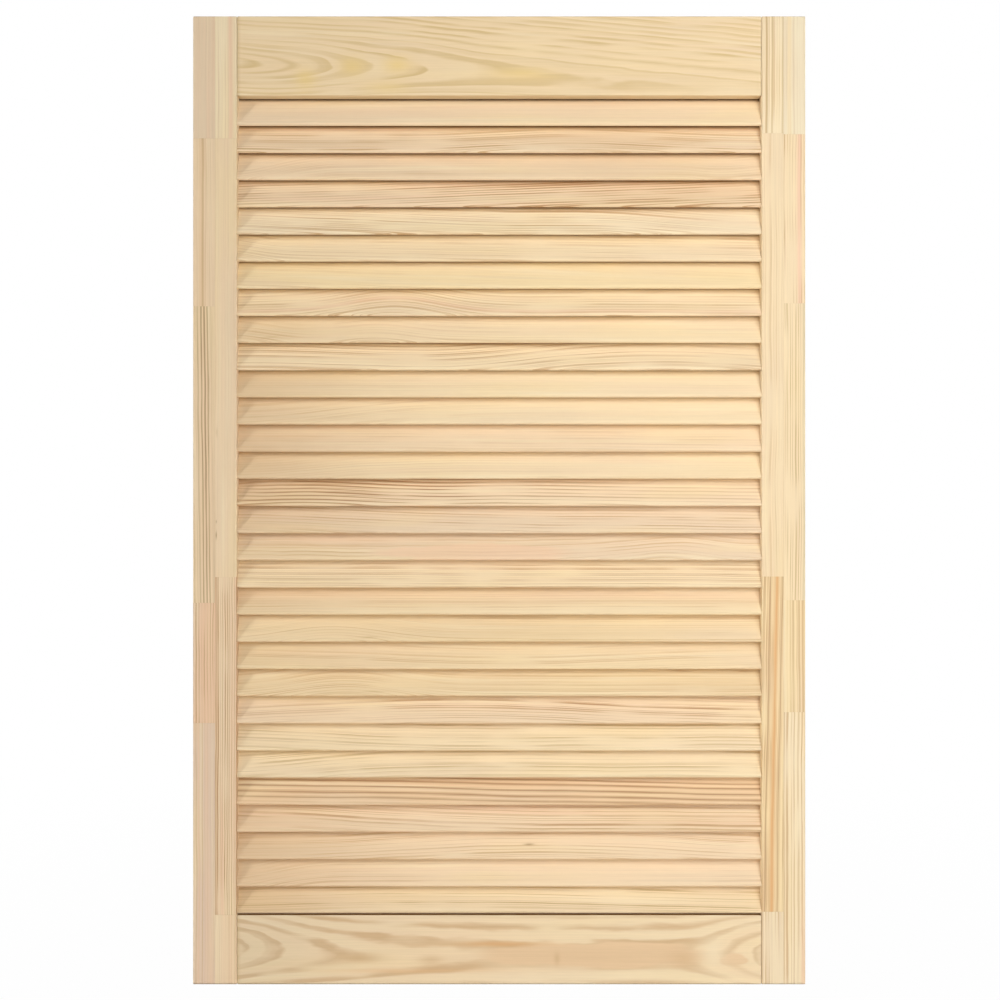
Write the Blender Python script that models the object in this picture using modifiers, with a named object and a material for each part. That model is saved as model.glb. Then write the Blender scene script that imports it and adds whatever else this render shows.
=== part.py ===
"""Louvred cabinet door in untreated pine: two stiles and two rails round thirty fixed slats.

Each stile is two rows of staves glued edge to edge, and each row is finger jointed end to end.
The slats' ends sit in slanted housings in the stiles, and the rails are dowelled to the stiles.

Metres, +Z up. The origin is at the middle of the bottom edge, the front faces -Y and +X is to the
right of someone who faces the front.
"""

from math import atan2, cos, pi, sin

import bmesh
import bpy
from mathutils import Matrix, Vector

# Door
DOOR_WIDTH = 0.594
DOOR_HEIGHT = 0.939
DOOR_THICKNESS = 0.021
TOP_RAIL_HEIGHT = 0.077
BOTTOM_RAIL_HEIGHT = 0.0675
ARRIS_RADIUS = 0.001
ARRIS_STEPS = 3
RAIL_JOINT_GAP = 0.00015

# Slats
SLAT_COUNT = 30
SLAT_THICKNESS = 0.005
SLAT_OVERLAP = 0.005  # how far a slat rises behind the nose of the one above
SLAT_FRONT_SETBACK = 0.0012
SLAT_BACK_SETBACK = 0.0029
NOSE_STEPS = 8
FIRST_SLAT_DROP = 0.0022  # extra drop of the first nose below the top rail
LAST_SLAT_GAP = 0.0004  # between the last nose and the bottom rail
HOUSING_DEPTH = 0.009
HOUSING_CLEARANCE = 0.0003
SLAT_END_CLEARANCE = 0.0005

# Staves
OUTER_STAVE_WIDTH = 0.0213
INNER_STAVE_WIDTH = 0.0213
STAVE_GLUE_GAP = 0.0001
LEFT_OUTER_STAVE_1 = 0.1185
LEFT_OUTER_STAVE_2 = 0.163
LEFT_OUTER_STAVE_4 = 0.1165
LEFT_OUTER_STAVE_5 = 0.2535
LEFT_INNER_STAVE_1 = 0.1185
LEFT_INNER_STAVE_3 = 0.3275
LEFT_INNER_STAVE_4 = 0.0675
RIGHT_OUTER_STAVE_1 = 0.1145
RIGHT_OUTER_STAVE_2 = 0.164
RIGHT_OUTER_STAVE_4 = 0.1085
RIGHT_OUTER_STAVE_5 = 0.264
RIGHT_INNER_STAVE_1 = 0.1135
RIGHT_INNER_STAVE_3 = 0.325
RIGHT_INNER_STAVE_4 = 0.0705

# Finger joints
FINGER_COUNT = 5
FINGER_LENGTH = 0.01
FINGER_TIP = 0.0006
FINGER_GAP = 0.0001

# Dowels
DOWEL_DIAMETER = 0.008
DOWEL_IN_STILE = 0.018
DOWEL_IN_RAIL = 0.03
DOWEL_SPACING = 0.036
DOWEL_CHAMFER = 0.001
DOWEL_SIDES = 24
DOWEL_CLEARANCE = 0.00015
DOWEL_END_CLEARANCE = 0.0008

# Construction helpers
OVERSHOOT = 0.002  # how far a cutter or an untrimmed stave runs past the face that it meets
WELD = 0.000001
FLAT_ANGLE = 0.01  # radians: faces that meet flatter than this become one

# Worked out from the sizes above
stile_width = OUTER_STAVE_WIDTH + INNER_STAVE_WIDTH
stile_edge = DOOR_WIDTH / 2 - stile_width  # from the middle to a stile's inner edge
front = -DOOR_THICKNESS / 2
back = DOOR_THICKNESS / 2
opening_bottom = BOTTOM_RAIL_HEIGHT
opening_top = DOOR_HEIGHT - TOP_RAIL_HEIGHT
slat_pitch = (opening_top - opening_bottom - FIRST_SLAT_DROP - LAST_SLAT_GAP) / SLAT_COUNT
slat_rise = slat_pitch + SLAT_OVERLAP - SLAT_THICKNESS  # of the section's centre line
slat_run = DOOR_THICKNESS - SLAT_FRONT_SETBACK - SLAT_BACK_SETBACK - SLAT_THICKNESS
slat_middle_y = (SLAT_FRONT_SETBACK - SLAT_BACK_SETBACK) / 2
slat_half_length = stile_edge + HOUSING_DEPTH - SLAT_END_CLEARANCE

# Each row's staves down from the top end, and up from the bottom end: the long one between takes the rest
STAVE_ROWS = {
    "left_outer": (
        (LEFT_OUTER_STAVE_1, LEFT_OUTER_STAVE_2),
        (LEFT_OUTER_STAVE_5, LEFT_OUTER_STAVE_4),
    ),
    "left_inner": (
        (LEFT_INNER_STAVE_1,),
        (LEFT_INNER_STAVE_4, LEFT_INNER_STAVE_3),
    ),
    "right_outer": (
        (RIGHT_OUTER_STAVE_1, RIGHT_OUTER_STAVE_2),
        (RIGHT_OUTER_STAVE_5, RIGHT_OUTER_STAVE_4),
    ),
    "right_inner": (
        (RIGHT_INNER_STAVE_1,),
        (RIGHT_INNER_STAVE_4, RIGHT_INNER_STAVE_3),
    ),
}

# Colours of the bare timber, linear red, green and blue
TONES = {
    "pale": (0.86, 0.67, 0.42),
    "cream": (0.89, 0.72, 0.47),
    "yellow": (0.84, 0.64, 0.35),
    "tan": (0.76, 0.55, 0.32),
    "pink": (0.82, 0.60, 0.41),
    "rust": (0.74, 0.48, 0.27),
    "beech": (0.64, 0.43, 0.25),
}
SLAT_TONES = (
    "pink", "pink", "pale", "tan", "yellow", "pale", "pale", "pale", "yellow", "tan",
    "pale", "yellow", "cream", "cream", "pink", "pale", "pink", "pale", "pale", "yellow",
    "pale", "cream", "tan", "yellow", "pale", "rust", "pink", "pink", "pale", "tan",
)
STAVE_TONES = {
    "left_outer": ("pink", "tan", "yellow", "pink", "pink"),
    "left_inner": ("pale", "pale", "pink", "pale"),
    "right_outer": ("cream", "pink", "yellow", "tan", "pale"),
    "right_inner": ("yellow", "cream", "rust", "cream"),
}
PINE_ROUGHNESS = 0.55
BEECH_ROUGHNESS = 0.65

# An outline is drawn in a curve's own X and Y, which become Y and Z here, and is drawn out along X
OUTLINE_TO_DOOR = Matrix(((0, 0, 1, 0), (1, 0, 0, 0), (0, 1, 0, 0), (0, 0, 0, 1)))


def clear_scene():
    for obj in list(bpy.data.objects):
        bpy.data.objects.remove(obj, do_unlink=True)


def new_collection(name):
    collection = bpy.data.collections.new(name)
    bpy.context.scene.collection.children.link(collection)
    return collection


def timber(name, tone, roughness):
    material = bpy.data.materials.new(name)
    material.use_nodes = True
    shader = material.node_tree.nodes["Principled BSDF"]
    shader.inputs["Base Color"].default_value = (*TONES[tone], 1)
    shader.inputs["Roughness"].default_value = roughness
    shader.inputs["Metallic"].default_value = 0
    return material


def place(name, mesh, matrix, collection):
    obj = bpy.data.objects.new(name, mesh)
    obj.matrix_world = matrix
    collection.objects.link(obj)
    return obj


def finish_piece(obj, tone, roughness=PINE_ROUGHNESS):
    """Joins a piece to the door and gives it its own timber."""
    obj.parent = door
    obj.data.materials.append(timber(obj.name, tone, roughness))


def set_as_cutter(obj):
    obj.hide_render = True
    obj.display_type = "WIRE"
    return obj


def cut(obj, cutter, operation="DIFFERENCE"):
    boolean = obj.modifiers.new(cutter.name, "BOOLEAN")
    boolean.operation = operation
    boolean.solver = "EXACT"
    boolean.object = cutter


def ease_arrises(obj):
    bevel = obj.modifiers.new("eased arrises", "BEVEL")
    bevel.width = ARRIS_RADIUS
    bevel.segments = ARRIS_STEPS


def prism(name, outlines, x_from, x_to, collection, at=(0.0, 0.0)):
    """One mesh of closed Y-Z outlines, drawn out along X, with the outlines' zero at a Y and a Z."""
    curve = bpy.data.curves.new(name, "CURVE")
    curve.dimensions = "2D"
    curve.fill_mode = "BOTH"
    curve.extrude = (x_to - x_from) / 2
    for outline in outlines:
        spline = curve.splines.new("POLY")
        spline.points.add(len(outline) - 1)
        for point, (y, z) in zip(spline.points, outline):
            point.co = (y, z, 0, 1)
        spline.use_cyclic_u = True
    guide = place(name + "_outline", curve, Matrix(), collection)
    graph = bpy.context.evaluated_depsgraph_get()
    mesh = bpy.data.meshes.new_from_object(guide.evaluated_get(graph))
    bpy.data.objects.remove(guide, do_unlink=True)
    work = bmesh.new()
    work.from_mesh(mesh)
    bmesh.ops.remove_doubles(work, verts=work.verts, dist=WELD)
    bmesh.ops.dissolve_degenerate(work, dist=WELD, edges=work.edges)
    bmesh.ops.dissolve_limit(work, angle_limit=FLAT_ANGLE, verts=work.verts, edges=work.edges)
    bmesh.ops.recalc_face_normals(work, faces=work.faces)
    work.to_mesh(mesh)
    work.free()
    middle = Matrix.Translation(((x_from + x_to) / 2, *at))
    return place(name, mesh, middle @ OUTLINE_TO_DOOR, collection)


def block(name, low, high, collection):
    """A box between two corners."""
    mesh = bpy.data.meshes.new(name)
    work = bmesh.new()
    bmesh.ops.create_cube(work, size=1)
    bmesh.ops.scale(work, vec=high - low, verts=work.verts)
    work.to_mesh(mesh)
    work.free()
    return place(name, mesh, Matrix.Translation((low + high) / 2), collection)


def rods(name, centres, diameter, length, collection, at=(0.0, 0.0, 0.0)):
    """One mesh of round rods along X, with the centres' zero at a point."""
    mesh = bpy.data.meshes.new(name)
    work = bmesh.new()
    for centre in centres:
        bmesh.ops.create_cone(
            work,
            cap_ends=True,
            segments=DOWEL_SIDES,
            radius1=diameter / 2,
            radius2=diameter / 2,
            depth=length,
            matrix=Matrix.Translation(centre) @ Matrix.Rotation(pi / 2, 4, "Y"),
        )
    work.to_mesh(mesh)
    work.free()
    return place(name, mesh, Matrix.Translation(at), collection)


def slat_heights():
    """Height of each slat's middle, from the top one down."""
    half = (slat_rise + SLAT_THICKNESS) / 2
    last = opening_bottom + LAST_SLAT_GAP + half
    return [last + slat_pitch * (SLAT_COUNT - 1 - row) for row in range(SLAT_COUNT)]


def slat_section(clearance=0.0):
    """A slat's round-edged section about its middle, leaning back to its top, with a clearance all round."""
    radius = SLAT_THICKNESS / 2 + clearance
    lean = atan2(slat_rise, slat_run)
    points = []
    for end in (1, -1):
        start = lean - end * pi / 2
        for step in range(NOSE_STEPS + 1):
            turn = start + pi * step / NOSE_STEPS
            y = end * slat_run / 2 + radius * cos(turn)
            z = end * slat_rise / 2 + radius * sin(turn)
            points.append((y, z))
    return points


def finger_line(z):
    """A finger joint's line from front to back, with its fingers pointing up from z."""
    pitch = DOOR_THICKNESS / FINGER_COUNT
    tip = FINGER_TIP / 2
    foot = (pitch - FINGER_TIP) / 2
    points = [(front - OVERSHOOT, z)]
    for finger in range(FINGER_COUNT):
        middle = front + (finger + 0.5) * pitch
        points.append((middle - foot, z))
        points.append((middle - tip, z + FINGER_LENGTH))
        points.append((middle + tip, z + FINGER_LENGTH))
        points.append((middle + foot, z))
    points.append((back + OVERSHOOT, z))
    return points


def square_line(z):
    """A square end's line from front to back."""
    return [(front - OVERSHOOT, z), (back + OVERSHOOT, z)]


def stave_outlines(from_top, from_bottom):
    """The outlines of one row's staves, from the top one down."""
    joints = []
    height = DOOR_HEIGHT
    for length in from_top:
        height -= length
        joints.append(height)
    rising = []
    height = 0.0
    for length in from_bottom:
        height += length
        rising.append(height)
    joints += reversed(rising)
    uppers = [square_line(DOOR_HEIGHT + OVERSHOOT)]
    uppers += [finger_line(joint - FINGER_GAP / 2) for joint in joints]
    lowers = [finger_line(joint + FINGER_GAP / 2) for joint in joints]
    lowers.append(square_line(-OVERSHOOT))
    return [lower + upper[::-1] for lower, upper in zip(lowers, uppers)]


def dowel_centres():
    """The middle of each dowel, by the name of its joint."""
    offset = (DOWEL_IN_RAIL - DOWEL_IN_STILE) / 2
    rail_middles = {
        "top": DOOR_HEIGHT - TOP_RAIL_HEIGHT / 2,
        "bottom": BOTTOM_RAIL_HEIGHT / 2,
    }
    centres = {}
    for side, sign in (("left", -1), ("right", 1)):
        for rail, middle in rail_middles.items():
            for number, step in ((1, 0.5), (2, -0.5)):
                x = sign * (stile_edge - offset)
                z = middle + step * DOWEL_SPACING
                centres[f"{rail}_{side}_dowel_{number}"] = Vector((x, 0, z))
    return centres


def make_slats():
    section = slat_section()
    for row, height in enumerate(slat_heights()):
        slat = prism(
            f"slat_{row + 1:02d}",
            [section],
            -slat_half_length,
            slat_half_length,
            parts,
            (slat_middle_y, height),
        )
        finish_piece(slat, SLAT_TONES[row % len(SLAT_TONES)])


def make_rails(dowel_holes):
    """Both rails, dowelled at the ends, and the top one ploughed for the first slat."""
    half_length = stile_edge - RAIL_JOINT_GAP
    spans = {"top_rail": (opening_top, DOOR_HEIGHT), "bottom_rail": (0.0, opening_bottom)}
    reach = half_length + OVERSHOOT
    first_slat = (slat_middle_y, slat_heights()[0])
    section = slat_section(HOUSING_CLEARANCE)
    groove = set_as_cutter(prism("top_rail_groove", [section], -reach, reach, cutters, first_slat))
    for name, (low_z, high_z) in spans.items():
        low = Vector((-half_length, front, low_z))
        high = Vector((half_length, back, high_z))
        rail = block(name, low, high, parts)
        ease_arrises(rail)
        if name == "top_rail":
            cut(rail, groove)
        cut(rail, dowel_holes)
        finish_piece(rail, "yellow" if name == "top_rail" else "pale")


def make_stile(side, sign, dowel_holes):
    """One stile: its machined blank, and the staves that it is glued up from."""
    edges = sorted((sign * stile_edge, sign * DOOR_WIDTH / 2))
    blank = block(
        f"{side}_stile_blank",
        Vector((edges[0], front, 0)),
        Vector((edges[1], back, DOOR_HEIGHT)),
        cutters,
    )
    ease_arrises(blank)
    set_as_cutter(blank)
    section = slat_section(HOUSING_CLEARANCE)
    sections = [[(y, z + height) for y, z in section] for height in slat_heights()]
    ends = sorted((sign * (stile_edge - OVERSHOOT), sign * (stile_edge + HOUSING_DEPTH)))
    housings = set_as_cutter(prism(f"{side}_housings", sections, *ends, cutters, (slat_middle_y, 0.0)))
    cut(blank, housings)
    cut(blank, dowel_holes)

    glue_line = DOOR_WIDTH / 2 - OUTER_STAVE_WIDTH
    rows = {
        "outer": (glue_line + STAVE_GLUE_GAP / 2, DOOR_WIDTH / 2 + OVERSHOOT),
        "inner": (stile_edge - OVERSHOOT, glue_line - STAVE_GLUE_GAP / 2),
    }
    for row, span in rows.items():
        key = f"{side}_{row}"
        x_from, x_to = sorted(sign * edge for edge in span)
        for number, outline in enumerate(stave_outlines(*STAVE_ROWS[key])):
            stave = prism(f"{key}_stave_{number + 1}", [outline], x_from, x_to, parts)
            cut(stave, blank, "INTERSECT")
            finish_piece(stave, STAVE_TONES[key][number])


def make_dowels():
    length = DOWEL_IN_STILE + DOWEL_IN_RAIL
    for name, centre in dowel_centres().items():
        dowel = rods(name, [Vector()], DOWEL_DIAMETER, length, parts, centre)
        chamfer = dowel.modifiers.new("chamfered ends", "BEVEL")
        chamfer.width = DOWEL_CHAMFER
        chamfer.segments = 1
        chamfer.angle_limit = pi / 3
        finish_piece(dowel, "beech", BEECH_ROUGHNESS)


clear_scene()
parts = new_collection("louvred_cabinet_door")
cutters = new_collection("cutters")
door = bpy.data.objects.new("door", None)
parts.objects.link(door)

holes = set_as_cutter(
    rods(
        "dowel_holes",
        dowel_centres().values(),
        DOWEL_DIAMETER + 2 * DOWEL_CLEARANCE,
        DOWEL_IN_STILE + DOWEL_IN_RAIL + 2 * DOWEL_END_CLEARANCE,
        cutters,
    )
)
make_slats()
make_rails(holes)
make_stile("left", -1, holes)
make_stile("right", 1, holes)
make_dowels()
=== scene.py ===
"""Looks of the louvred cabinet door: bare pine on every board, soft daylight and a white ground."""

from dataclasses import dataclass, replace
from math import atan2, cos, hypot, pi, radians, sin

import bmesh
import bpy
from mathutils import Matrix, Vector


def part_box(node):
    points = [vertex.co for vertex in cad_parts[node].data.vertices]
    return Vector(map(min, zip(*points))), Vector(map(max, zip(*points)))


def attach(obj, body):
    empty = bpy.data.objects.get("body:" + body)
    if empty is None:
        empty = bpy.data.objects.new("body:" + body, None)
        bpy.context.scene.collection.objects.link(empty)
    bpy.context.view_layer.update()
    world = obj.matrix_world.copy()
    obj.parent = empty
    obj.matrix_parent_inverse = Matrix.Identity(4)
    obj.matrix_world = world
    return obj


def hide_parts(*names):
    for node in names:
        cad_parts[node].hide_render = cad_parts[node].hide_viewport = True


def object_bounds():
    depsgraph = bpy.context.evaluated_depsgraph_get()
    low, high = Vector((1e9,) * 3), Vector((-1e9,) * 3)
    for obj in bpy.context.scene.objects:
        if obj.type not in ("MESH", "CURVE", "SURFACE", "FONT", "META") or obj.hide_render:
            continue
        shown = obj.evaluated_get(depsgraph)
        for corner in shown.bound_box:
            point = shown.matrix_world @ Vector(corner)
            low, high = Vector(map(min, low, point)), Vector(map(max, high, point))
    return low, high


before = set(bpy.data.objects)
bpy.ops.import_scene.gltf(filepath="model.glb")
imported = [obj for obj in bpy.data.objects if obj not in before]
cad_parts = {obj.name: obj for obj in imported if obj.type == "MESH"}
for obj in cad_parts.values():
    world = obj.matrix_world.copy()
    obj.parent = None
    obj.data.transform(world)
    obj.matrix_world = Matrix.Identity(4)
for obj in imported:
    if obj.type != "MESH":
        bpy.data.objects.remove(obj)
cad_low, cad_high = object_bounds()

MM = 0.001

# The photograph's view
PIXEL = 0.9696 * MM  # what one pixel covers at the door's front face
PICTURE = 1000  # pixels, both ways
CAMERA_DISTANCE = 1.35  # from the front face
CAMERA_RIGHT = 0.8 * PIXEL  # of the door's middle
CAMERA_RISE = 0.3 * PIXEL  # above the door's middle
SENSOR = 36.0

# Slats
SLAT_THICKNESS = 5 * MM
NOSE_STEPS = 18
SLAT_STEPS = 44
SLAT_BOW = 0.22 * MM  # at most, at mid-length
BOW_TURN = 2.4  # radians by which one slat's bow follows the last one's
SHARP_EDGE = 50  # degrees

# Painted shade: a dark brown blended into the upper part of each slat's face, under the nose of the
# slat above, and into the crease above the bottom rail, in place of the shade there. In millimetres
# from a board's middle: where it starts and is full across the board, and out of its face, then its
# tone and how thick it is
SLAT_PAINTED_SHADE = (9.0, 13.3, (0.0, 2.0), "painted_shade", 1.0)
RAIL_PAINTED_SHADE = (33.2, 33.7, (4.0, 6.0), "crease_shade", 1.0)
PAINTED_SHADE_THINS = 0.8  # how much less of it there is on the lowest slat

# How light the frame's boards are beside the slats
STAVE_LIGHT = 0.93
RAIL_LIGHT = {"top_rail": 0.96, "bottom_rail": 0.93}

# Light
SKY = 0.06
GROUND_SHINE = 0.985  # how much of the ground's white doesn't take the shadow, close to the door
SHADOW_REACH = (0.25, 1.3)  # metres from the door, between which the ground's shadow fades out
GROUND_GREY = (0.4, 0.4, 0.4, 1)  # where it does take the shadow
GROUND_HALF = 30.0

# Lamps round the door: azimuth from straight in front, positive to the right, and elevation, in
# degrees; distance, width and height, in metres; watts
LAMPS = {
    "window": (-63, 15, 5.0, 0.7, 1.0, 88),
    "soft_box": (0, 9, 2.6, 1.4, 0.4, 3.5),
    "upper_soft_box": (0, 20, 2.6, 1.4, 0.4, 5),
    "high_soft_box": (5, 38, 1.6, 1.2, 0.4, 2.2),
    "reflector": (30, 6, 1.1, 0.5, 1.2, 5.2),
    "upper_reflector": (32, 25, 1.3, 0.6, 0.9, 3.4),
    "back_soft_box": (180, 4, 2.6, 1.6, 1.6, 20),
    "upper_back_soft_box": (180, 38, 2.6, 1.6, 1.0, 36),
    "left_side_soft_box": (-108, 8, 2.6, 0.8, 1.4, 24),
    "right_side_soft_box": (108, 8, 2.6, 0.8, 1.4, 24),
}
# A card on the floor before the door, which shines up: its place, width, depth and watts
FLOOR_CARD = (Vector((0.1, -0.51, 0.0015)), 2.4, 1.0, 4.2)

# The tree
TREE_STEP = 613.0  # millimetres between the places that two boards come from
RAIL_PLACE = 40  # the first rail's number among those places; the slats' start at 0
STAVE_PLACE = 50  # the first stave's
RING_DARKEST = 0.88  # where in a year the ring is darkest
DRIFT = 2.7  # years by which the most uneven rings run early or late

# How large the wood's patterns are, in millimetres along the grain and across it
WANDER = (150, 70)
RIPPLE = (46, 11)
FADE = (70, 14)
FIBRE = (16, 0.35)
STRAND = (120, 1.5)
BAND = (240, 7)
TINT = (170, 26)
BEECH_FIBRE = (12, 0.3)
BEECH_FLECK = (3, 0.5)

# Planed pine
FIBRE_SHADE = 0.10  # how much its fibres, its strands and its end grain change how light it is
STRAND_SHADE = 0.13
END_SHADE = 0.22
END_TURN = (0.6, 0.95)  # how squarely the grain meets a face where end grain starts, and is full
PINE_ROUGHNESS = 0.6
PINE_GLOSS = 0.16
GRAIN_STRENGTH = 0.35
GRAIN_DEPTH = 0.2 * MM

# Colours, as they look on a screen
TONES = {
    "cream": (239, 220, 184),
    "ivory": (234, 219, 187),
    "lime": (228, 212, 177),
    "pale": (237, 214, 175),
    "straw": (237, 213, 167),
    "sand": (232, 207, 166),
    "rose": (235, 209, 173),
    "mauve": (228, 204, 172),
    "lilac": (224, 198, 173),
    "tan": (229, 197, 157),
    "blush": (233, 197, 163),
    "petal": (238, 194, 166),
    "gold": (230, 201, 136),
    "honey": (213, 184, 134),
    "clay": (211, 178, 137),
    "olive": (198, 169, 123),
    "amber": (203, 167, 124),
    "orange": (222, 173, 119),
    "rust": (188, 147, 105),
    "sienna": (172, 128, 87),
    "umber": (158, 124, 83),
    "ash": (200, 180, 150),
    # Painted shade: dark browns for the shade under the slats' noses and in the crease above the
    # bottom rail
    "painted_shade": (88, 56, 20),
    "crease_shade": (114, 76, 34),
    "beech": (214, 172, 128),
    "beech fleck": (176, 128, 88),
    "white": (255, 255, 255),
}


def screen(name):
    """A named colour's linear red, green, blue and alpha."""
    linear = []
    for level in TONES[name]:
        share = level / 255
        linear.append(share / 12.92 if share <= 0.04045 else ((share + 0.055) / 1.055) ** 2.4)
    return (*linear, 1.0)


@dataclass
class Board:
    """How one board was cut from the tree and how it has coloured, in millimetres."""

    tone: str = "pale"
    late: str = "amber"  # the dark part of each year's ring
    lines: float = 0.5  # how strongly the rings show
    ring: float = 3.2  # one year's growth
    pith: tuple = (-60.0, 6.0)  # the tree's heart: across the face, and behind it
    tilt: float = 0.0  # how far the grain climbs the face for its length
    wave: float = 3.0  # how far the grain wanders
    ripple: float = 1.1  # how far it wavers on the way
    early: float = 0.45  # how much of a year is pale
    edge: float = 0.91  # where in a year the dark part starts to end
    uneven: float = 0.6  # how much one year's ring differs from the next
    blush: float = 0.15  # how much of the face has turned pink
    swells: tuple = ()  # where the grain comes up to the face: along, reach, height
    sweeps: tuple = ()  # where the grain bends across the face: along, reach, height
    quiet: tuple = ()  # where the rings fade: along, reach, share
    streaks: tuple = ()  # coloured stripes along the grain: across, half width, tone, strength
    marks: tuple = ()  # short marks: along, across, half length, half width, tone, strength
    patches: tuple = ()  # the same, with a wavy edge


class Value:
    """A socket on its way through a finish's nodes. Sums with it add Math nodes."""

    def __init__(self, nodes, socket):
        self.nodes = nodes
        self.socket = socket

    def __add__(self, other):
        return self.nodes.math("ADD", self, other)

    def __radd__(self, other):
        return self.nodes.math("ADD", other, self)

    def __sub__(self, other):
        return self.nodes.math("SUBTRACT", self, other)

    def __rsub__(self, other):
        return self.nodes.math("SUBTRACT", other, self)

    def __mul__(self, other):
        return self.nodes.math("MULTIPLY", self, other)

    def __rmul__(self, other):
        return self.nodes.math("MULTIPLY", other, self)

    def __truediv__(self, other):
        return self.nodes.math("DIVIDE", self, other)

    def __rtruediv__(self, other):
        return self.nodes.math("DIVIDE", other, self)

    def __abs__(self):
        return self.nodes.math("ABSOLUTE", self)


class Nodes:
    """The nodes of one finish, or of the world."""

    def __init__(self, owner):
        owner.use_nodes = True
        self.tree = owner.node_tree
        self.tree.nodes.clear()

    def node(self, kind, settings=None, sockets=None, output=0):
        """One node, with its settings made and its sockets filled, as the value it gives."""
        made = self.tree.nodes.new("ShaderNode" + kind)
        for name, setting in (settings or {}).items():
            setattr(made, name, setting)
        for name, value in (sockets or {}).items():
            if isinstance(value, Value):
                self.tree.links.new(value.socket, made.inputs[name])
            else:
                made.inputs[name].default_value = value
        return Value(self, made.outputs[output]) if made.outputs else None

    def math(self, operation, *terms):
        return self.node("Math", {"operation": operation}, dict(enumerate(terms)))

    def point(self, x, y, z):
        return self.node("CombineXYZ", {}, {0: x, 1: y, 2: z})

    def noise(self, place, detail):
        return self.node("TexNoise", {}, {"Vector": place, "Scale": 1.0, "Detail": detail})

    def figure(self, along, across, depth, size, detail):
        """Noise drawn out along the grain."""
        length, width = size
        return self.noise(self.point(along / length, across / width, depth / width), detail)

    def rise(self, value, low, high):
        """0 below low, 1 above high, and smooth between."""
        return self.node(
            "MapRange",
            {"interpolation_type": "SMOOTHSTEP"},
            {"Value": value, "From Min": low, "From Max": high},
        )

    def hump(self, value, middle, reach):
        """1 at the middle, falling away smoothly to either side."""
        offset = (value - middle) / reach
        return self.math("EXPONENT", offset * offset * -1.0)

    def blend(self, first, second, share):
        """A colour between two."""
        return self.node("Mix", {"data_type": "RGBA"}, {0: share, 6: first, 7: second}, 2)

    def shade(self, colour, level):
        """A colour made lighter or darker."""
        return self.node("VectorMath", {"operation": "SCALE"}, {0: colour, "Scale": level})


def new_finish(name):
    material = bpy.data.materials.new(name)
    return material, Nodes(material)


def board_place(nodes, axes, middle):
    """Millimetres along, across and out of a board, from its middle, in its object's own axes."""
    spot = nodes.node("TexCoord", output="Object")
    xyz = [nodes.node("SeparateXYZ", {}, {0: spot}, output=axis) for axis in range(3)]
    return [(xyz[axis] - middle[axis]) * (sign / MM) for axis, sign in axes]


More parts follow.
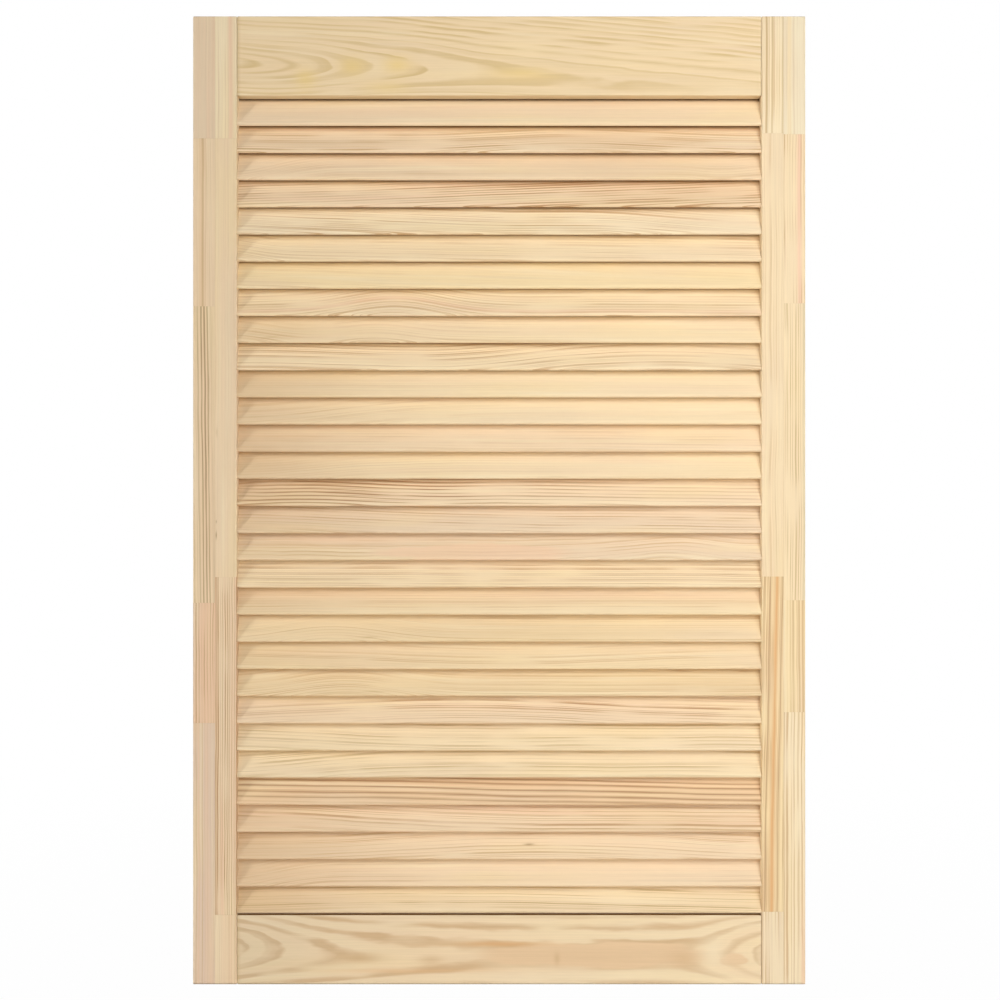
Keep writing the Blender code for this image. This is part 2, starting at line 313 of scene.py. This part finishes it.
def pine(name, board, number, axes, middle=(0, 0, 0), light=1.0, painted_shade=None):
    """Bare planed pine, coloured right through the board.

    It has rings, fibres, a blush, darker grain at the ends, and, when given one, a painted shade:
    a dark brown in a corner that stands in for the shade there.
    """
    material, nodes = new_finish(name)
    along, across, depth = board_place(nodes, axes, middle)
    far = along + number * TREE_STEP

    wander = nodes.figure(far, across, depth, WANDER, 1.0) - 0.5
    ripple = nodes.figure(far, across, depth, RIPPLE, 2.0) - 0.5
    side = across - board.pith[0] - along * board.tilt + wander * board.wave + ripple * board.ripple
    for place, reach, height in board.sweeps:
        side = side - nodes.hump(along, place, reach) * height
    deep = board.pith[1] - depth + wander * board.wave + ripple * board.ripple
    for place, reach, height in board.swells:
        deep = deep - nodes.hump(along, place, reach) * height
    radius = nodes.math("SQRT", side * side + deep * deep)

    drift = nodes.node(
        "TexNoise",
        {"noise_dimensions": "1D"},
        {"W": radius / (board.ring * 3) + number},
    )
    years = radius / board.ring + drift * (board.uneven * DRIFT)
    year = nodes.math("FLOOR", years)
    season = nodes.math("FRACT", years)
    late = nodes.rise(season, board.early, RING_DARKEST)
    late = late * (1 - nodes.rise(season, board.edge, 1.0))
    luck = nodes.node("TexWhiteNoise", {"noise_dimensions": "1D"}, {"W": year + number * 7.0})
    fade = nodes.figure(far, across, depth, FADE, 1.0)
    rings = late * (1 - luck * board.uneven) * nodes.rise(fade, 0.25, 0.6)
    for place, reach, share in board.quiet:
        rings = rings * (1 - nodes.hump(along, place, reach) * share)

    fibres = nodes.figure(far, across, depth, FIBRE, 2.0) - 0.5
    strands = nodes.figure(far, across, depth, STRAND, 2.0) - 0.5
    bands = nodes.noise(nodes.point(far / BAND[0], radius / BAND[1], number * 1.7), 1.0)
    tint = nodes.noise(nodes.point(far / TINT[0], across / TINT[1], depth / TINT[1] + number), 1.0)

    colour = nodes.blend(screen(board.tone), screen("straw"), nodes.rise(tint, 0.5, 0.72) * 0.5)
    colour = nodes.blend(colour, screen("mauve"), nodes.rise(tint, 0.5, 0.28) * 0.4)
    colour = nodes.blend(colour, screen("blush"), nodes.rise(bands, 0.45, 0.75) * board.blush)
    colour = nodes.blend(colour, screen("cream"), nodes.rise(bands, 0.45, 0.25) * 0.5)
    colour = nodes.blend(colour, screen(board.late), rings * board.lines)
    for place, reach, tone, strength in board.streaks:
        stripe = nodes.hump(side + board.pith[0] + strands * 2.0, place, reach)
        colour = nodes.blend(colour, screen(tone), stripe * strength)
    for place, height, reach, width, tone, strength in board.patches:
        patch = nodes.hump(along + wander * 40, place, reach)
        patch = patch * nodes.hump(across + ripple * 14, height, width)
        colour = nodes.blend(colour, screen(tone), nodes.rise(patch, 0.25, 0.5) * strength)
    for place, height, reach, width, tone, strength in board.marks:
        mark = nodes.hump(along, place, reach) * nodes.hump(across + ripple * 3, height, width)
        colour = nodes.blend(colour, screen(tone), mark * strength)

    # Painted shade: a dark brown blended in where a corner lies in shade, with a rougher surface
    # there
    painted_shade_share = 0.0
    if painted_shade:
        low, high, deepest, tone, share = painted_shade
        painted_shade_share = nodes.rise(across, low, high) * nodes.rise(depth, *deepest) * share
        colour = nodes.blend(colour, screen(tone), painted_shade_share)

    normal = nodes.node("NewGeometry", output="Normal")
    grain_axis = axes[0][0]
    facing = abs(nodes.node("SeparateXYZ", {}, {0: normal}, output=grain_axis))
    end_grain = nodes.rise(facing, *END_TURN)
    level = light + fibres * FIBRE_SHADE + strands * STRAND_SHADE - end_grain * END_SHADE
    colour = nodes.shade(colour, level)

    bump = nodes.node(
        "Bump",
        {},
        {
            "Strength": GRAIN_STRENGTH,
            "Distance": GRAIN_DEPTH,
            "Height": rings * 0.5 + fibres * 0.6 + strands * 0.5,
        },
    )
    roughness = PINE_ROUGHNESS + fibres * 0.16 - rings * 0.08 + end_grain * 0.15 + painted_shade_share * 0.35
    surface = nodes.node(
        "BsdfPrincipled",
        {},
        {
            "Base Color": colour,
            "Roughness": roughness,
            "Specular IOR Level": PINE_GLOSS,
            "Normal": bump,
        },
    )
    nodes.node("OutputMaterial", {}, {"Surface": surface})
    return material


def beech(name):
    """Turned beech, with the short dark flecks of its rays."""
    material, nodes = new_finish(name)
    along, across, depth = board_place(nodes, ALONG_X, (0, 0, 0))
    flecks = nodes.rise(nodes.figure(along, across, depth, BEECH_FLECK, 2.0), 0.58, 0.7)
    fibres = nodes.figure(along, across, depth, BEECH_FIBRE, 2.0) - 0.5
    colour = nodes.blend(screen("beech"), screen("beech fleck"), flecks * 0.7)
    colour = nodes.shade(colour, 1 + fibres * 0.15)
    bump = nodes.node("Bump", {}, {"Strength": 0.3, "Distance": 0.15 * MM, "Height": fibres})
    surface = nodes.node(
        "BsdfPrincipled",
        {},
        {"Base Color": colour, "Roughness": 0.6 + fibres * 0.15, "Normal": bump},
    )
    nodes.node("OutputMaterial", {}, {"Surface": surface})
    return material


# Each axis of a board is one of its object's axes, with a sign: along the grain, across it, and out
# of the face
ALONG_X = ((0, 1), (2, 1), (1, -1))
ALONG_Z = ((2, 1), (0, 1), (1, -1))
SLAT_AXES = ((0, 1), (1, 1), (2, 1))


def dim_end(strength):
    """A mark that makes a slat darker and warmer towards its left end."""
    return (-262, 0, 120, 80, "amber", strength)


def dark_ring(height):
    """A mark for one of the dark rings at the left of a slat."""
    return (-200, height, 100, 0.8, "sienna", 0.6)


SLATS = (
    Board("rose", lines=0.12, ring=4.5, pith=(-50, 8), tilt=0.01),
    Board(
        "rose",
        lines=1.35,
        ring=2.7,
        pith=(-55, 6),
        sweeps=((70, 100, 7),),
        streaks=((9, 2, "blush", 0.5),),
        marks=((125, 0, 80, 80, "amber", 0.25),),
    ),
    Board(
        "rose",
        lines=0.7,
        ring=3.2,
        sweeps=((-262, 60, -20), (215, 30, -4)),
        quiet=((80, 120, 0.8),),
        marks=((125, 0, 90, 80, "amber", 0.22),),
    ),
    Board(
        "rose",
        "rust",
        lines=2.1,
        ring=2.9,
        tilt=0.045,
        uneven=0.4,
        quiet=((-180, 140, 0.7),),
        blush=0.4,
        marks=((160, 0, 120, 80, "amber", 0.25),),
    ),
    Board(
        "cream",
        lines=1.4,
        ring=3.2,
        tilt=-0.05,
        sweeps=((110, 70, 5),),
        quiet=((240, 70, 0.8), (-250, 50, 0.6)),
    ),
    Board("pale", lines=0.8, ring=3.4, tilt=-0.02, sweeps=((-262, 35, 8),)),
    Board("straw", lines=0.5, ring=3.6, tilt=-0.04, quiet=((140, 170, 0.8),), blush=0.05),
    Board("pale", lines=1.1, ring=3, sweeps=((-105, 62, 16),), streaks=((-14, 2.5, "blush", 0.5),)),
    Board(
        "pale",
        lines=0.77,
        ring=3,
        tilt=-0.01,
        sweeps=((-120, 45, 7), (-262, 50, 9)),
        quiet=((150, 130, 0.75),),
        marks=(dim_end(0.3), (85, 6, 40, 1.2, "blush", 0.5), (-222, -12, 8, 1, "olive", 0.5)),
    ),
    Board(
        "pale",
        "rust",
        lines=1.25,
        ring=3.8,
        sweeps=((150, 140, 13), (-60, 90, -6)),
        quiet=((200, 70, 0.4),),
        marks=((-5, 10.5, 60, 1.6, "rust", 0.8), (240, 0, 50, 40, "ash", 0.2)),
    ),
    Board("pale", lines=0.35, ring=2.6, quiet=((120, 150, 0.8),), marks=(dim_end(0.45),)),
    Board(
        "pale",
        lines=0.63,
        ring=6,
        sweeps=((-262, 150, -22),),
        quiet=((120, 180, 0.9),),
        marks=(dim_end(0.37), (-60, 9, 70, 2, "blush", 0.4)),
    ),
    Board(
        "rose",
        lines=0.4,
        ring=3,
        tilt=-0.01,
        marks=(dim_end(0.45), (85, 3, 45, 1.2, "amber", 0.5)),
    ),
    Board(
        "pale",
        lines=0.56,
        ring=2.8,
        sweeps=((-262, 110, -13),),
        quiet=((150, 150, 0.6),),
        marks=(dim_end(0.5),),
    ),
    Board(
        "rose",
        "sienna",
        lines=1.35,
        ring=3.7,
        tilt=-0.004,
        uneven=0.2,
        sweeps=((-200, 95, 6), (40, 90, 3)),
        quiet=((190, 200, 0.7),),
        marks=(dim_end(0.4), *map(dark_ring, (8.5, 4.5, 0.5, -3.5, -7.5, -11.5))),
    ),
    Board(
        "mauve",
        "rust",
        lines=0.75,
        ring=3.2,
        tilt=-0.01,
        sweeps=((-262, 160, 8),),
        marks=(dim_end(0.35),),
    ),
    Board(
        "mauve",
        lines=0.8,
        ring=4,
        wave=10,
        ripple=3,
        early=0.3,
        sweeps=((170, 60, 9),),
        streaks=((-2.2, 0.8, "amber", 0.6),),
        marks=(dim_end(0.2), (-160, 4, 60, 4, "blush", 0.4)),
        patches=((-28, -10, 90, 9, "blush", 0.7),),
    ),
    Board("pale", "rust", lines=1.1, ring=2.2, tilt=-0.004),
    Board(
        "sand",
        lines=0.95,
        ring=2.8,
        streaks=((2, 6, "blush", 0.35), (-14, 4, "cream", 0.4)),
        marks=(dim_end(0.25),),
    ),
    Board(
        "sand",
        lines=0.75,
        ring=3,
        sweeps=((-160, 70, 13),),
        blush=0.05,
        marks=((20, 0, 130, 40, "honey", 0.25), (-127, -13, 8, 0.8, "olive", 0.6)),
    ),
    Board("sand", lines=0.65, ring=3, sweeps=((10, 170, -9),), marks=(dim_end(0.2),)),
    Board(
        "sand",
        lines=1.05,
        ring=3,
        sweeps=((-150, 70, 13),),
        blush=0.05,
        marks=(
            (0, 0, 400, 60, "honey", 0.15),
            (240, 0, 70, 40, "honey", 0.25),
            (177, 8, 12, 0.9, "rust", 0.7),
            (240, 8, 10, 0.9, "rust", 0.7),
            (-122, -13, 9, 0.8, "olive", 0.6),
        ),
    ),
    Board(
        "rose",
        "rust",
        lines=1.25,
        ring=3.6,
        sweeps=((-40, 200, 12),),
        quiet=((-210, 130, 0.5),),
    ),
    Board("pale", "olive", lines=0.95, ring=3.2, wave=6, sweeps=((-262, 110, 9),), blush=0.05),
    Board(
        "pale",
        "olive",
        lines=0.85,
        ring=3.8,
        tilt=-0.006,
        sweeps=((-262, 110, -14),),
        blush=0.05,
    ),
    Board(
        "tan",
        "rust",
        lines=0.6,
        ring=2.8,
        tilt=-0.02,
        streaks=(
            (7.7, 0.8, "sienna", 0.7),
            (3.2, 0.9, "sienna", 0.8),
            (-2.7, 1.0, "sienna", 0.85),
            (-8.3, 1.0, "sienna", 0.8),
            (-13.5, 0.8, "sienna", 0.6),
        ),
    ),
    Board(
        "rose",
        "rust",
        lines=1.0,
        ring=4.2,
        tilt=-0.008,
        sweeps=((-262, 150, 10),),
        blush=0.5,
        marks=(dim_end(0.3), (190, 0, 120, 40, "amber", 0.2)),
    ),
    Board(
        "rose",
        lines=1.3,
        ring=3.4,
        sweeps=((40, 190, 12),),
        marks=(dim_end(0.5), (29, -3, 5, 1, "umber", 0.7)),
    ),
    Board(
        "rose",
        "rust",
        lines=0.75,
        ring=3.2,
        sweeps=((-262, 60, -14),),
        quiet=((90, 190, 0.9),),
        marks=(dim_end(0.45), (225, 9, 25, 0.8, "amber", 0.6)),
    ),
    Board(
        "sand",
        "olive",
        lines=1.05,
        ring=3.4,
        sweeps=((-60, 260, 8),),
        blush=0.05,
        marks=(dim_end(0.5),),
    ),
)

RAILS = {
    "top_rail": Board(
        "sand",
        "honey",
        lines=1.35,
        ring=4.6,
        pith=(-18, 40),
        tilt=-0.09,
        wave=6,
        ripple=1.6,
        early=0.2,
        edge=0.75,
        uneven=0.35,
        blush=0.1,
        swells=((-340, 200, 30),),
        sweeps=((-254, 120, -12),),
        quiet=((170, 170, 0.1), (-190, 70, 0.25)),
        marks=(
            (-99, -9, 14, 8, "gold", 0.8),
            (-143, -10, 14, 9, "gold", 0.7),
            (-188, -22, 10, 10, "gold", 0.7),
            (-110, -30, 22, 6, "gold", 0.5),
            (22, -17, 30, 6, "gold", 0.7),
            (150, -31, 60, 4, "honey", 0.5),
            # Painted shade along the rail's left end, beside the stile
            (-254, 0, 2.5, 90, "olive", 0.5),
        ),
    ),
    "bottom_rail": Board(
        "pale",
        "clay",
        lines=1.7,
        ring=7.2,
        pith=(-5, 48.3),
        wave=4,
        ripple=3,
        early=0.3,
        edge=0.7,
        uneven=0.2,
        blush=0.2,
        swells=((-275, 45, 10), (-275, 135, 14), (285, 60, 19)),
        sweeps=((-254, 60, 6),),
        quiet=((-254, 80, -0.4), (60, 60, 0.3), (250, 70, 0.5)),
        marks=(
            (-254, 0, 90, 50, "ash", 0.4),
            (90, -5, 90, 9, "clay", 0.3),
            (180, -8, 18, 8, "amber", 0.4),
            (56, -9, 3, 6, "amber", 0.5),
            (207, -2, 12, 14, "cream", 0.7),
            (60, -28, 150, 6, "cream", 0.5),
            (0, 5.5, 40, 2.5, "orange", 0.7),
            (-95, -20.5, 75, 2.2, "orange", 0.35),
            (-66, -9.5, 12, 4, "amber", 0.5),
            (-136, -8, 22, 5, "amber", 0.75),
            # Painted shade along the rail's left end, beside the stile
            (-254, 0, 2.5, 90, "olive", 0.5),
        ),
        patches=((95, -5, 110, 12.5, "tan", 0.95), (231, -11, 14, 7, "tan", 0.95)),
    ),
}

STAVE_PITH = (-60.0, 32.0)  # so that the rings show as lines on a stave's edge too

STAVES = {
    "left_outer": (
        Board("mauve", lines=0.28, ring=3, blush=0.5),
        Board(
            "rose",
            lines=0.49,
            ring=3,
            streaks=((-3, 2.5, "tan", 0.6), (-1.5, 1.0, "amber", 0.7), (1.5, 0.6, "amber", 0.3)),
        ),
        Board(
            "rose",
            "olive",
            lines=0.7,
            ring=2.6,
            tilt=-0.012,
            streaks=(
                (-5, 0.6, "umber", 0.45),
                (-1.5, 0.7, "umber", 0.7),
                (1.5, 0.7, "umber", 0.75),
                (4.5, 0.6, "umber", 0.55),
                (8, 0.5, "umber", 0.3),
            ),
        ),
        Board("blush", "rust", lines=1.4, ring=2.6),
        Board(
            "lilac",
            lines=0.7,
            ring=2.6,
            blush=0.5,
            streaks=((-5, 1, "blush", 0.6),),
            marks=((120, -8, 20, 3, "tan", 0.6),),
        ),
    ),
    "left_inner": (
        Board("cream", lines=0.65, ring=3, streaks=((4.5, 2.5, "blush", 0.8),)),
        Board(
            "rose",
            lines=0.28,
            ring=3,
            marks=(
                (-164, -9.5, 1.5, 0.5, "umber", 0.6),
                (-177, -9.5, 3.5, 0.6, "umber", 0.8),
                (-77, -8.5, 5, 0.8, "olive", 0.4),
            ),
        ),
        Board("rose", "rust", lines=2.0, ring=2.1, streaks=((-9, 0.8, "rust", 0.5),), blush=0.9),
        Board("rose", lines=0.5, ring=3, blush=0.4),
    ),
    "right_outer": (
        Board("ivory", lines=0.5, ring=3, streaks=((-5, 2, "straw", 0.6),), blush=0.0),
        Board("pale", lines=1.6, ring=2.6, streaks=((5, 2.4, "petal", 0.6),), blush=0.0),
        Board("pale", "olive", lines=1.5, ring=2.4, streaks=((10, 3, "lime", 0.7),), blush=0.05),
        Board(
            "straw",
            lines=0.8,
            ring=3,
            streaks=((4.5, 0.8, "amber", 0.8), (8, 0.9, "amber", 0.8)),
            blush=0.05,
        ),
        Board("cream", lines=1.5, ring=3.2, marks=((-125, 9, 60, 3, "blush", 0.8),), blush=0.1),
    ),
    "right_inner": (
        Board(
            "cream",
            lines=0.9,
            ring=2.4,
            streaks=((-6, 0.8, "olive", 0.7), (-0.6, 0.8, "olive", 0.7), (9.5, 0.8, "olive", 0.7)),
            blush=0.05,
        ),
        Board("pale", lines=0.55, ring=2.6, wave=5),
        Board(
            "straw",
            "amber",
            lines=1.5,
            ring=3,
            tilt=0.02,
            streaks=(
                (-1, 8, "orange", 0.15),
                (-5, 0.9, "rust", 0.85),
                (1.5, 1.7, "orange", 1.0),
                (7, 0.8, "rust", 0.75),
            ),
            blush=0.1,
        ),
        Board("cream", lines=1.1, ring=3, blush=0.0),
    ),
}


def slat_section(half_width):
    """Points round a slat's section: two straight faces and two round noses."""
    radius = SLAT_THICKNESS / 2
    points = []
    for end in (1, -1):
        for step in range(NOSE_STEPS + 1):
            turn = pi * step / NOSE_STEPS - end * pi / 2
            points.append((end * half_width + radius * cos(turn), radius * sin(turn)))
    return points


def slat_mesh(name, length, half_width, bow):
    """A slat along X, its width along Y and its face to +Z, bowed a little across its width."""
    section = slat_section(half_width)
    work = bmesh.new()
    rings = []
    for step in range(SLAT_STEPS + 1):
        share = step / SLAT_STEPS
        x = (share - 0.5) * length
        lift = bow * sin(pi * share)
        rings.append([work.verts.new((x, y + lift, z)) for y, z in section])
    for ring, following in zip(rings, rings[1:]):
        for spot in range(len(section)):
            after = (spot + 1) % len(section)
            work.faces.new((ring[spot], ring[after], following[after], following[spot]))
    work.faces.new(rings[0][::-1])
    work.faces.new(rings[-1])
    bmesh.ops.recalc_face_normals(work, faces=work.faces)
    mesh = bpy.data.meshes.new(name)
    work.to_mesh(mesh)
    work.free()
    mesh.shade_smooth()
    mesh.set_sharp_from_angle(angle=radians(SHARP_EDGE))
    return mesh


def make_slats():
    """Finely rounded slats in the place of the plain ones, each from its own board."""
    *shade_place, shade_share = SLAT_PAINTED_SHADE
    for row, board in enumerate(SLATS):
        node = f"slat_{row + 1:02d}"
        low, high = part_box(node)
        size = high - low
        run = size.y - SLAT_THICKNESS
        rise = size.z - SLAT_THICKNESS
        bow = SLAT_BOW * sin(BOW_TURN * row + 1)
        name = "planed_" + node
        slat = bpy.data.objects.new(name, slat_mesh(name, size.x, hypot(run, rise) / 2, bow))
        bpy.context.scene.collection.objects.link(slat)
        lean = Matrix.Rotation(atan2(rise, run), 4, "X")
        slat.matrix_world = Matrix.Translation((low + high) / 2) @ lean
        # The painted shade is thickest on the top slat and thins towards the lowest
        down = row / (len(SLATS) - 1)
        painted_shade = (*shade_place, shade_share * (1 - PAINTED_SHADE_THINS * down**2))
        slat.data.materials.append(pine(node + "_pine", board, row, SLAT_AXES, painted_shade=painted_shade))
        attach(slat, "root")
        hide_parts(node)


def set_finish(node, material):
    """Gives a carried-over node its finish."""
    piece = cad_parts[node]
    if not piece.material_slots:
        piece.data.materials.append(material)
    for slot in piece.material_slots:
        slot.material = material


def finish_rails():
    for number, (node, board) in enumerate(RAILS.items()):
        low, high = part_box(node)
        # Painted shade on the bottom rail's top face, in the crease under the lowest slat
        painted_shade = RAIL_PAINTED_SHADE if node == "bottom_rail" else None
        middle = (low + high) / 2
        light = RAIL_LIGHT[node]
        finish = pine(node + "_pine", board, RAIL_PLACE + number, ALONG_X, middle, light, painted_shade)
        set_finish(node, finish)


def finish_staves():
    number = STAVE_PLACE
    for row, boards in STAVES.items():
        for place, board in enumerate(boards):
            node = f"{row}_stave_{place + 1}"
            low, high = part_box(node)
            board = replace(board, pith=STAVE_PITH)
            middle = (low + high) / 2
            set_finish(node, pine(node + "_pine", board, number, ALONG_Z, middle, STAVE_LIGHT))
            number += 1


def finish_dowels():
    turned = beech("turned_beech")
    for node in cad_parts:
        if "dowel" in node:
            set_finish(node, turned)


def camera_sees(nodes):
    """1 for what the camera sees straight on, in a reflection or through glass."""
    rays = ("Is Camera Ray", "Is Glossy Ray", "Is Transmission Ray")
    seen = [nodes.node("LightPath", output=ray) for ray in rays]
    return nodes.math("MAXIMUM", nodes.math("MAXIMUM", seen[0], seen[1]), seen[2])


def make_ground():
    """A white floor that keeps a faint shadow."""
    material, nodes = new_finish("white_ground")
    spot = nodes.node("NewGeometry", output="Position")
    away = nodes.node("VectorMath", {"operation": "LENGTH"}, {0: spot}, "Value")
    shine = GROUND_SHINE + nodes.rise(away, *SHADOW_REACH) * (1 - GROUND_SHINE)
    matt = nodes.node("BsdfDiffuse", {}, {"Color": GROUND_GREY})
    glow = nodes.node("Emission", {}, {"Color": screen("white"), "Strength": 1.0})
    share = camera_sees(nodes) * shine
    both = nodes.node("MixShader", {}, {0: share, 1: matt, 2: glow})
    nodes.node("OutputMaterial", {}, {"Surface": both})
    mesh = bpy.data.meshes.new("ground")
    work = bmesh.new()
    bmesh.ops.create_grid(work, x_segments=1, y_segments=1, size=GROUND_HALF)
    work.to_mesh(mesh)
    work.free()
    ground = bpy.data.objects.new("ground", mesh)
    bpy.context.scene.collection.objects.link(ground)
    ground.location.z = cad_low.z
    mesh.materials.append(material)


def make_sky():
    """Even daylight from all round, which the camera sees as white."""
    world = bpy.data.worlds.new("daylight")
    bpy.context.scene.world = world
    nodes = Nodes(world)
    light = nodes.node("Background", {}, {"Color": screen("white"), "Strength": SKY})
    white = nodes.node("Background", {}, {"Color": screen("white"), "Strength": 1.0})
    both = nodes.node("MixShader", {}, {0: camera_sees(nodes), 1: light, 2: white})
    nodes.node("OutputWorld", {}, {"Surface": both})


def make_lamp(name, place, aim, width, height, power):
    """A soft box at a place, which shines along aim."""
    lamp = bpy.data.lights.new(name, "AREA")
    lamp.shape = "RECTANGLE"
    lamp.size = width
    lamp.size_y = height
    lamp.energy = power
    obj = bpy.data.objects.new(name, lamp)
    obj.visible_camera = False
    bpy.context.scene.collection.objects.link(obj)
    turn = aim.to_track_quat("-Z", "Y").to_matrix().to_4x4()
    obj.matrix_world = Matrix.Translation(place) @ turn


def stand_lamp(name, azimuth, elevation, distance, width, height, power):
    """A soft box at a distance from the door's middle, turned to it."""
    middle = (cad_low + cad_high) / 2
    turn = radians(azimuth)
    tip = radians(elevation)
    away = Vector((sin(turn) * cos(tip), -cos(turn) * cos(tip), sin(tip)))
    make_lamp(name, middle + away * distance, -away, width, height, power)


def make_lamps():
    for name, stand in LAMPS.items():
        stand_lamp(name, *stand)
    place, width, depth, power = FLOOR_CARD
    make_lamp("floor_card", place, Vector((0, 0, 1)), width, depth, power)


def make_camera():
    middle = (cad_low + cad_high) / 2
    camera = bpy.data.cameras.new("camera")
    camera.sensor_width = SENSOR
    camera.lens = SENSOR * CAMERA_DISTANCE / (PICTURE * PIXEL)
    obj = bpy.data.objects.new("camera", camera)
    bpy.context.scene.collection.objects.link(obj)
    obj.location = (middle.x + CAMERA_RIGHT, cad_low.y - CAMERA_DISTANCE, middle.z + CAMERA_RISE)
    obj.rotation_euler = (pi / 2, 0, 0)
    bpy.context.scene.camera = obj


make_slats()
finish_rails()
finish_staves()
finish_dowels()
make_ground()
make_sky()
make_lamps()
make_camera()
bpy.context.scene.view_settings.view_transform = "Standard"
